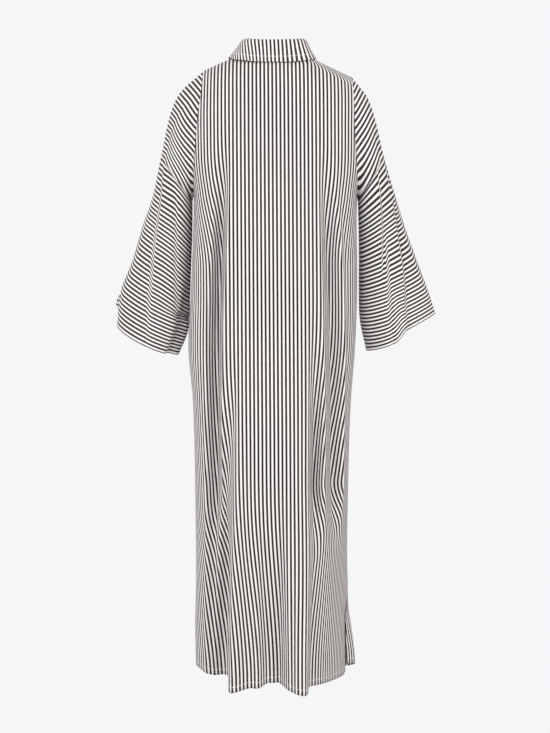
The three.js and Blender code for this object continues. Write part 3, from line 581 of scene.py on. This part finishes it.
SleeveSection = namedtuple("SleeveSection", "t out_x out_z in_x in_z depth forward dip")
SLEEVE_LEFT = [
    SleeveSection(0.00, 0.158, -0.002, 0.1736, -0.266, 0.062, 0.000, 0.000),
    SleeveSection(0.12, 0.214, -0.058, 0.1744, -0.266, 0.066, 0.006, 0.004),
    SleeveSection(0.30, 0.243, -0.176, 0.1760, -0.274, 0.070, 0.016, 0.008),
    SleeveSection(0.45, 0.262, -0.262, 0.1770, -0.345, 0.070, 0.024, 0.010),
    SleeveSection(0.60, 0.286, -0.331, 0.1800, -0.418, 0.070, 0.030, 0.012),
    SleeveSection(0.73, 0.307, -0.400, 0.1825, -0.482, 0.070, 0.034, 0.014),
    SleeveSection(0.87, 0.333, -0.469, 0.1860, -0.552, 0.072, 0.036, 0.016),
    SleeveSection(1.00, 0.341, -0.541, 0.2060, -0.604, 0.074, 0.036, 0.018),
]
SLEEVE_RIGHT = [
    SleeveSection(0.00, 0.174, -0.016, 0.1780, -0.266, 0.062, 0.000, 0.000),
    SleeveSection(0.12, 0.209, -0.064, 0.1790, -0.266, 0.066, 0.006, 0.004),
    SleeveSection(0.30, 0.236, -0.176, 0.1810, -0.274, 0.070, 0.016, 0.008),
    SleeveSection(0.45, 0.262, -0.262, 0.1830, -0.332, 0.070, 0.024, 0.010),
    SleeveSection(0.60, 0.284, -0.331, 0.1840, -0.396, 0.070, 0.030, 0.012),
    SleeveSection(0.73, 0.309, -0.400, 0.1840, -0.460, 0.070, 0.034, 0.014),
    SleeveSection(0.87, 0.333, -0.464, 0.1860, -0.530, 0.072, 0.036, 0.010),
    SleeveSection(1.00, 0.350, -0.517, 0.2000, -0.598, 0.074, 0.036, 0.003),
]

# Creases of a sleeve: where they start, are full and end along it, where they lie round it at
# both ends (turns from the outer edge over the back), half width, how far out, and the length
# of cloth that slips into them with how sharply
Crease = namedtuple("Crease", "start full end at_start at_end width out slip soft")
SLEEVE_CREASES_LEFT = [
    Crease(0.24, 0.55, 2, 0.11, 0.255, 0.030, -0.004, 0.010, 0.014),
    Crease(0.30, 0.50, 1.1, 0.27, 0.40, 0.030, -0.003, 0.005, 0.016),
    Crease(0.62, 0.90, 2, 0.44, 0.40, 0.060, -0.014, 0, 1),
    Crease(0.40, 0.90, 2, 0.66, 0.66, 0.06, -0.010, 0, 1),
    Crease(0.50, 0.90, 2, 0.84, 0.84, 0.06, -0.010, 0, 1),
    Crease(0.86, 0.925, 0.955, 0.955, 0.955, 0.04, 0.011, 0, 1),
]
SLEEVE_CREASES_RIGHT = [
    Crease(0.28, 0.55, 2, 0.05, 0.23, 0.016, -0.009, 0.013, 0.006),
    Crease(0.28, 0.42, 0.75, 0.18, 0.30, 0.016, -0.004, 0.008, 0.005),
    Crease(0.50, 0.70, 2, 0.22, 0.30, 0.020, -0.004, 0.009, 0.012),
    Crease(0.40, 0.90, 2, 0.64, 0.64, 0.06, -0.010, 0, 1),
    Crease(0.50, 0.90, 2, 0.86, 0.86, 0.06, -0.010, 0, 1),
]

# Lengths of cloth: cuff to the ring at the cap, at both edges, the ring to the shoulder, how
# much of that shows down the armhole seam, and what a pinch at the inner edge takes up
Cut = namedtuple("Cut", "outer inner shoulder seam pinch")
CUT_LEFT = Cut(0.3545, 0.326, 0.191, 0.170, 0.018)
CUT_RIGHT = Cut(0.325, 0.318, 0.149, 0.1415, 0)
SEAM_CURVE = 1.05
TUCK_FROM = 0.13
TUCK_DEPTH = 0.004
TUCK_SPREAD = 0.02
PINCH_AT = 0.795
PINCH_LENGTH = 0.05
PINCH_FROM = 0.24
PINCH_DEPTH = 0.012
EDGE_SLIP = 0.006
EDGE_REACH = 0.09
CUFF_SLIP_END = 4
SAG_RIGHT = 0.014
SAG_FROM = 0.23
SAG_FULL = 0.28
SAG_END = 0.50


def armhole_point(side, turn):
    """A point of the armhole seam, a turn round it from the shoulder point over the back."""
    face = 1 if turn <= 0.5 else -1
    row = (turn if turn <= 0.5 else 1 - turn) * 2 * ARMHOLE_ROWS
    if row <= SHOULDER_PART:
        level = -SHOULDER_ROUND * (1 - math.cos(math.pi / 2 * row / SHOULDER_PART))
    else:
        level = mix(-SHOULDER_ROUND, UNDERARM, (row - SHOULDER_PART) / (ARMHOLE_ROWS - SHOULDER_PART))
    ring = Ring(face, level)
    point = body_point(ring, ring.edge(side, level), level)
    point.x += side * ARMHOLE_GAP
    if row < 1e-6 or row > ARMHOLE_ROWS - 1e-6:
        point.y = 0
    return point


def crease_shift(creases, turn, t):
    out = 0.0
    slip = 0.0
    from_edge = min(turn, 1 - turn)
    for crease in creases:
        if t <= crease.start or t >= crease.end:
            continue
        grown = ease((t - crease.start) / (crease.full - crease.start))
        grown *= ease(2 * (crease.end - t) / (crease.end - crease.full))
        part = (t - crease.start) / (min(crease.end, 1) - crease.start)
        at = mix(crease.at_start, crease.at_end, part)
        q = (turn - at) / crease.width
        if abs(q) < 1:
            out += crease.out * grown * math.cos(q * math.pi / 2) ** 2
        if crease.slip and (turn <= 0.5) == (at <= 0.5):
            slip += crease.slip * grown * ease((from_edge - min(at, 1 - at)) / crease.soft / 2 + 0.5)
    return out, slip


def tuck_slip(turn, cut):
    """Cloth hidden under the sleeve cap: none at the outer edge, most at the underarm."""
    q = max(0.0, (min(turn, 1 - turn) - TUCK_FROM) / (0.5 - TUCK_FROM))
    return (cut.outer + cut.shoulder - cut.seam - cut.inner - cut.pinch) * (1 - (1 - q) ** 2.5)


def sleeve(name, side, sections, creases, cut_lengths):
    mesh = bmesh.new()
    bmesh.ops.create_grid(mesh, x_segments=SLEEVE_COLUMNS, y_segments=SLEEVE_ROWS, size=1)
    cut = mesh.loops.layers.uv.new("cut")
    armhole = [armhole_point(side, k / SLEEVE_COLUMNS) for k in range(SLEEVE_COLUMNS + 1)]
    offsets = {}
    place = {}
    ordered = sorted(mesh.verts, key=lambda vert: (-round(vert.co.y, 5), round(vert.co.x, 5)))
    for count, vert in enumerate(ordered):
        i, k = divmod(count, SLEEVE_COLUMNS + 1)
        t, turn = i / SLEEVE_ROWS, k / SLEEVE_COLUMNS
        angle = turn * 2 * math.pi
        if k == 0:
            value = {field: column_at(sections, field, t) for field in SleeveSection._fields[1:]}
            outer = Vector((side * value["out_x"], -value["forward"], value["out_z"]))
            inner = Vector((side * value["in_x"], -value["forward"], value["in_z"]))
            centre, away = (outer + inner) / 2, (outer - inner) / 2
        out, slip = crease_shift(creases, turn, t)
        from_edge = min(turn, 1 - turn)
        below_tuck = min(1.0, max(0.0, (t - CAP_LENGTH) * SLEEVE_ROWS))
        hidden = tuck_slip(turn, cut_lengths)
        tucked = max(0.0, 1 - abs(t - CAP_LENGTH) / TUCK_SPREAD) * min(1, hidden / 0.01)
        out += TUCK_DEPTH * tucked * (0.5 if t <= CAP_LENGTH else -1)
        below_pinch = ease((t - PINCH_AT) / PINCH_LENGTH)
        pinch = ease((from_edge - PINCH_FROM) / (0.5 - PINCH_FROM)) if turn <= 0.5 else 0
        if cut_lengths.pinch:
            out -= PINCH_DEPTH * pinch * 4 * below_pinch * (1 - below_pinch)
        fold = 1 + out / away.length
        point = centre + away * (math.cos(angle) * fold)
        point.y += math.sin(angle) * value["depth"] * fold
        point.z -= math.sin(angle) * value["dip"]
        if side < 0 and turn < 0.5:
            sag = ease((turn - SAG_FROM) / (SAG_FULL - SAG_FROM))
            sag *= ease((SAG_END - turn) / (SAG_END - SAG_FULL))
            point.z -= SAG_RIGHT * sag * ease((t - 0.7) / 0.3)
        if i == 0:
            offsets[k] = armhole[k] - point
        opened = ease(t / CAP_LENGTH)
        vert.co = point + offsets[k] * (1 - opened)
        outerness = (1 + math.cos(angle)) / 2
        at_ring = mix(cut_lengths.inner, cut_lengths.outer, outerness)
        if t < CAP_LENGTH:
            down_seam = max(0.0, armhole[k].z / UNDERARM) ** SEAM_CURVE
            seam = cut_lengths.outer + cut_lengths.shoulder - cut_lengths.seam * down_seam
            from_cuff = mix(seam, at_ring + hidden + cut_lengths.pinch * pinch, t / CAP_LENGTH)
        else:
            from_cuff = (at_ring * (1 - t) / (1 - CAP_LENGTH) + hidden * (1 - below_tuck)
                         + cut_lengths.pinch * pinch * (1 - below_pinch))
        slip -= EDGE_SLIP * (1 - ease(from_edge / EDGE_REACH)) * ease(t / CAP_LENGTH - 1)
        girth = 2 * math.pi * math.sqrt((away.length ** 2 + value["depth"] ** 2) / 2)
        place[vert] = (from_cuff + slip * min(1, (1 - t) * CUFF_SLIP_END), turn * girth)
    for polygon in mesh.faces:
        for loop in polygon.loops:
            loop[cut].uv = place[loop.vert]
    bmesh.ops.remove_doubles(mesh, verts=mesh.verts, dist=1e-5)
    middle = Vector((side * 0.24, 0, -0.3))
    return finish_shell(name, mesh, outward=lambda face: face.calc_center_median() - middle)


for name, node, side, sections, creases, cut_lengths in [
    ("sleeve_left_cloth", "sleeve_left", 1, SLEEVE_LEFT, SLEEVE_CREASES_LEFT, CUT_LEFT),
    ("sleeve_right_cloth", "sleeve_right", -1, SLEEVE_RIGHT, SLEEVE_CREASES_RIGHT, CUT_RIGHT),
]:
    piece = sleeve(name, side, sections, creases, cut_lengths)
    piece.data.materials.append(striped_cloth(node + " cloth", "U"))
    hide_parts(node)


# Collar: an upright stand round the neck, and a fall that rolls over it to two points at the
# front. Both are two layers of the cloth with interlining, stitched along the edge of the fall.
ROLL_HALF_WIDTH = 0.063
ROLL_BACK_DEPTH = 0.059
ROLL_FRONT_DEPTH = 0.066
ROLL_HEIGHT = 0.061
ROLL_FRONT_DROP = 0.030
ROLL_BACK_DROP = 0.008
COLLAR_WALL = 0.0020
STAND_CLEAR = 0.0005
FALL_CLEAR = 0.0008
STAND_END = 188
LAP_FROM = 160
LAP_FULL = 172
LAP_STEP = 0.0023
OVER_BAND_FROM = 148
OVER_BAND_RISE = 16
FALL_END = 166
FALL_SQUARE = 3.4
FLARE_RIGHT = 0.7
COLLAR_LEAN = 0.008
COLLAR_COLUMNS = 200

Fall = namedtuple("Fall", "angle height flare")
FALL_SHAPE = [
    Fall(-60, 0.0455, 0.022), Fall(0, 0.0466, 0.005), Fall(60, 0.0455, 0.022),
    Fall(75, 0.0405, 0.026), Fall(90, 0.0335, 0.029), Fall(112, 0.029, 0.029),
    Fall(130, 0.031, 0.028), Fall(150, 0.050, 0.026), Fall(166, 0.060, 0.022),
]
Profile = namedtuple("Profile", "part stand out rise down")
FALL_PROFILE = [
    Profile(0.00, -0.0016, 0.00, 0.000, 0.00),
    Profile(0.07, 0.0026, 0.00, 0.000, 0.00),
    Profile(0.14, 0.0056, 0.04, -0.002, 0.03),
    Profile(0.42, 0.0056, 0.30, -0.002, 0.30),
    Profile(0.72, 0.0056, 0.62, -0.002, 0.62),
    Profile(1.00, 0.0056, 1.00, -0.002, 0.97),
]


def neck_place(angle, width, back_depth, front_depth, out=0.0, power=2.0):
    sine, cosine = math.sin(math.radians(angle)), math.cos(math.radians(angle))
    deep = back_depth if cosine > 0 else front_depth
    square = 2 / (mix(2.0, power, ease(cosine / 0.25)))
    return (math.copysign(abs(sine) ** square, sine) * (width + out),
            math.copysign(abs(cosine) ** square, cosine) * (deep + out))


def neck_height(angle):
    face = 1 if math.cos(math.radians(angle)) > 0 else -1
    x, y = neck_place(angle, NECK_HALF_WIDTH, NECK_BACK_DEPTH, NECK_FRONT_DEPTH)
    near = max(0.0, 1 - (x / NECK_HALF_WIDTH) ** 2)
    depth = abs(Ring(face, 0).at(x)[0].y)
    roll = math.asin(min(abs(y) / depth, 1))
    top = NECK_HEIGHT - (NECK_FRONT_DIP * near if face < 0 else 0)
    return top - SHOULDER_ROUND * (1 - math.cos(roll))


def roll_height(angle):
    cosine = math.cos(math.radians(angle))
    return (ROLL_HEIGHT - ROLL_BACK_DROP * max(cosine, 0) ** 2
            - ROLL_FRONT_DROP * max(-cosine, 0) ** 1.5)


def stand_point(angle, up):
    lap = LAP_STEP * ease((-angle - LAP_FROM) / (LAP_FULL - LAP_FROM))
    foot = neck_place(angle, NECK_HALF_WIDTH, NECK_BACK_DEPTH, NECK_FRONT_DEPTH, lap)
    head = neck_place(angle, ROLL_HALF_WIDTH, ROLL_BACK_DEPTH, ROLL_FRONT_DEPTH, lap)
    over_band = BAND_RAISE * ease((abs(angle) - OVER_BAND_FROM) / OVER_BAND_RISE)
    z = mix(neck_height(angle) + STAND_CLEAR + over_band, roll_height(angle), up)
    return Vector((mix(foot[0], head[0], up), mix(foot[1], head[1], up), z))


def fall_point(angle, part):
    flare = column_at(FALL_SHAPE, "flare", abs(angle))
    drop = column_at(FALL_SHAPE, "height", abs(angle))
    stand_off = column_at(FALL_PROFILE, "stand", part)
    flare *= mix(FLARE_RIGHT, 1, (1 + math.sin(math.radians(angle))) / 2)
    x, y = neck_place(angle, ROLL_HALF_WIDTH, ROLL_BACK_DEPTH, ROLL_FRONT_DEPTH,
                      stand_off + column_at(FALL_PROFILE, "out", part) * flare, FALL_SQUARE)
    z = (roll_height(angle) + COLLAR_WALL + FALL_CLEAR + column_at(FALL_PROFILE, "rise", part)
         - column_at(FALL_PROFILE, "down", part) * drop)
    return Vector((x, y, z))


def collar_piece(name, end, rows, point_at):
    mesh = bmesh.new()
    bmesh.ops.create_grid(mesh, x_segments=COLLAR_COLUMNS, y_segments=rows, size=1)
    cut = mesh.loops.layers.uv.new("cut")
    ordered = sorted(mesh.verts, key=lambda vert: (-round(vert.co.y, 5), round(vert.co.x, 5)))
    points = [[point_at(mix(-end, end, k / COLLAR_COLUMNS), i / rows)
               for k in range(COLLAR_COLUMNS + 1)] for i in range(rows + 1)]
    for count, vert in enumerate(ordered):
        i, k = divmod(count, COLLAR_COLUMNS + 1)
        vert.co = points[i][k]
    middle = COLLAR_COLUMNS // 2
    down = [0.0]
    for before, after in zip(points, points[1:]):
        down.append(down[-1] + (after[middle] - before[middle]).length)
    place = {}
    for i, line in enumerate(points):
        along = [0.0]
        for before, after in zip(line, line[1:]):
            along.append(along[-1] + (after - before).length)
        for k, distance in enumerate(along):
            across = distance - along[middle]
            lean = COLLAR_LEAN * (0.3 + (across / ROLL_HALF_WIDTH) ** 2) * i / rows
            place[i, k] = (across + lean, down[-1] - down[i])
    where = {vert: divmod(count, COLLAR_COLUMNS + 1) for count, vert in enumerate(ordered)}
    for polygon in mesh.faces:
        for loop in polygon.loops:
            loop[cut].uv = place[where[loop.vert]]
    return finish_shell(name, mesh, face=1, thickness=COLLAR_WALL)


collar_cloth = striped_cloth("collar cloth", "V")
collar_stand = collar_piece("collar_stand_cloth", STAND_END, 6, stand_point)
collar_stand.data.materials.append(collar_cloth)
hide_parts("collar_stand")

collar_fall = collar_piece("collar_fall_cloth", FALL_END, 24, fall_point)
collar_fall.data.materials.append(collar_cloth)
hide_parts("collar_fall")


# Buttons: small discs of dark horn, sewn through the band. Nine run down the front band and
# one closes the collar stand. The solids keep their shape and get the horn's streaks and gloss.
HORN_DARK = (0.018, 0.014, 0.013, 1)
HORN_LIGHT = (0.050, 0.040, 0.034, 1)
button_horn = bpy.data.materials.new("dark horn")
button_horn.use_nodes = True
horn_tree = button_horn.node_tree
horn_shader = horn_tree.nodes["Principled BSDF"]
horn_place = add_node(horn_tree, "ShaderNodeTexCoord")
horn_streaks = add_node(horn_tree, "ShaderNodeTexNoise")
horn_streaks.inputs["Scale"].default_value = 260
horn_streaks.inputs["Detail"].default_value = 3
horn_streaks.inputs["Distortion"].default_value = 1.5
horn_tree.links.new(horn_place.outputs["Object"], horn_streaks.inputs["Vector"])
horn_colour = add_node(horn_tree, "ShaderNodeMix", data_type="RGBA")
horn_colour.inputs["A"].default_value = HORN_DARK
horn_colour.inputs["B"].default_value = HORN_LIGHT
horn_tree.links.new(horn_streaks.outputs["Fac"], horn_colour.inputs["Factor"])
horn_tree.links.new(horn_colour.outputs["Result"], horn_shader.inputs["Base Color"])
horn_shader.inputs["Roughness"].default_value = 0.38
for node in [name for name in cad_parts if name.startswith("button")]:
    bpy.data.objects[node].data.materials.clear()
    bpy.data.objects[node].data.materials.append(button_horn)


# Studio: a pale floor under a pale surround, which lights the cloth a little warmer than it
# looks. A wide soft light stands high behind the dress, with weaker ones to both sides and one
# in front. The floor shows its own pale tone and leaves the lighting to the lamps.
FLOOR_HALF_WIDTH = 12
FLOOR_HEIGHT = -1.75
LIGHT_WIDTH = 2.6
LIGHTS_AIM = Vector((0, 0, -0.6))
PALE = (0.922, 0.922, 0.935, 1)
AMBIENT = 0.62
WARM_SURROUND = (0.935, 0.885, 0.875, 1)
floor_mesh = bmesh.new()
bmesh.ops.create_grid(floor_mesh, x_segments=1, y_segments=1, size=FLOOR_HALF_WIDTH)
bmesh.ops.translate(floor_mesh, verts=floor_mesh.verts, vec=(0, 0, FLOOR_HEIGHT))
floor_data = bpy.data.meshes.new("floor")
floor_mesh.to_mesh(floor_data)
floor_mesh.free()
floor = bpy.data.objects.new("floor", floor_data)
bpy.context.collection.objects.link(floor)
floor_paint = bpy.data.materials.new("pale floor")
floor_paint.use_nodes = True
floor_shader = floor_paint.node_tree.nodes["Principled BSDF"]
floor_shader.inputs["Base Color"].default_value = (0, 0, 0, 1)
floor_shader.inputs["Specular IOR Level"].default_value = 0
floor_shader.inputs["Emission Color"].default_value = PALE
floor_shader.inputs["Emission Strength"].default_value = 1
floor_data.materials.append(floor_paint)
floor.visible_diffuse = False
floor.visible_glossy = False

world = bpy.data.worlds.new("studio")
world.use_nodes = True
surround = world.node_tree
seen = add_node(surround, "ShaderNodeLightPath")
strength = add_node(surround, "ShaderNodeMapRange")
strength.inputs["To Min"].default_value = AMBIENT
surround.links.new(seen.outputs["Is Camera Ray"], strength.inputs["Value"])
tone = add_node(surround, "ShaderNodeMix", data_type="RGBA")
tone.inputs["A"].default_value = WARM_SURROUND
tone.inputs["B"].default_value = PALE
surround.links.new(seen.outputs["Is Camera Ray"], tone.inputs["Factor"])
surround.links.new(tone.outputs["Result"], surround.nodes["Background"].inputs["Color"])
surround.links.new(strength.outputs["Result"], surround.nodes["Background"].inputs["Strength"])
bpy.context.scene.world = world
bpy.context.scene.view_settings.view_transform = "Standard"

for name, place, watts, tint in [
    ("key light", (1.4, 3.7, 1.0), 78, (0.98, 1.0, 1.0)),
    ("fill light", (-2.6, 2.6, 0.1), 54, (1.0, 0.95, 0.93)),
    ("side light", (3.4, 1.2, -0.4), 26, (1.0, 0.95, 0.93)),
    ("front light", (0.8, -3.4, 0.8), 60, (1.0, 1.0, 1.0)),
]:
    lamp = bpy.data.lights.new(name, "AREA")
    lamp.size = LIGHT_WIDTH
    lamp.energy = watts
    lamp.color = tint
    holder = bpy.data.objects.new(name, lamp)
    bpy.context.collection.objects.link(holder)
    holder.location = place
    aim = LIGHTS_AIM - Vector(place)
    holder.rotation_euler = aim.to_track_quat("-Z", "Y").to_euler()
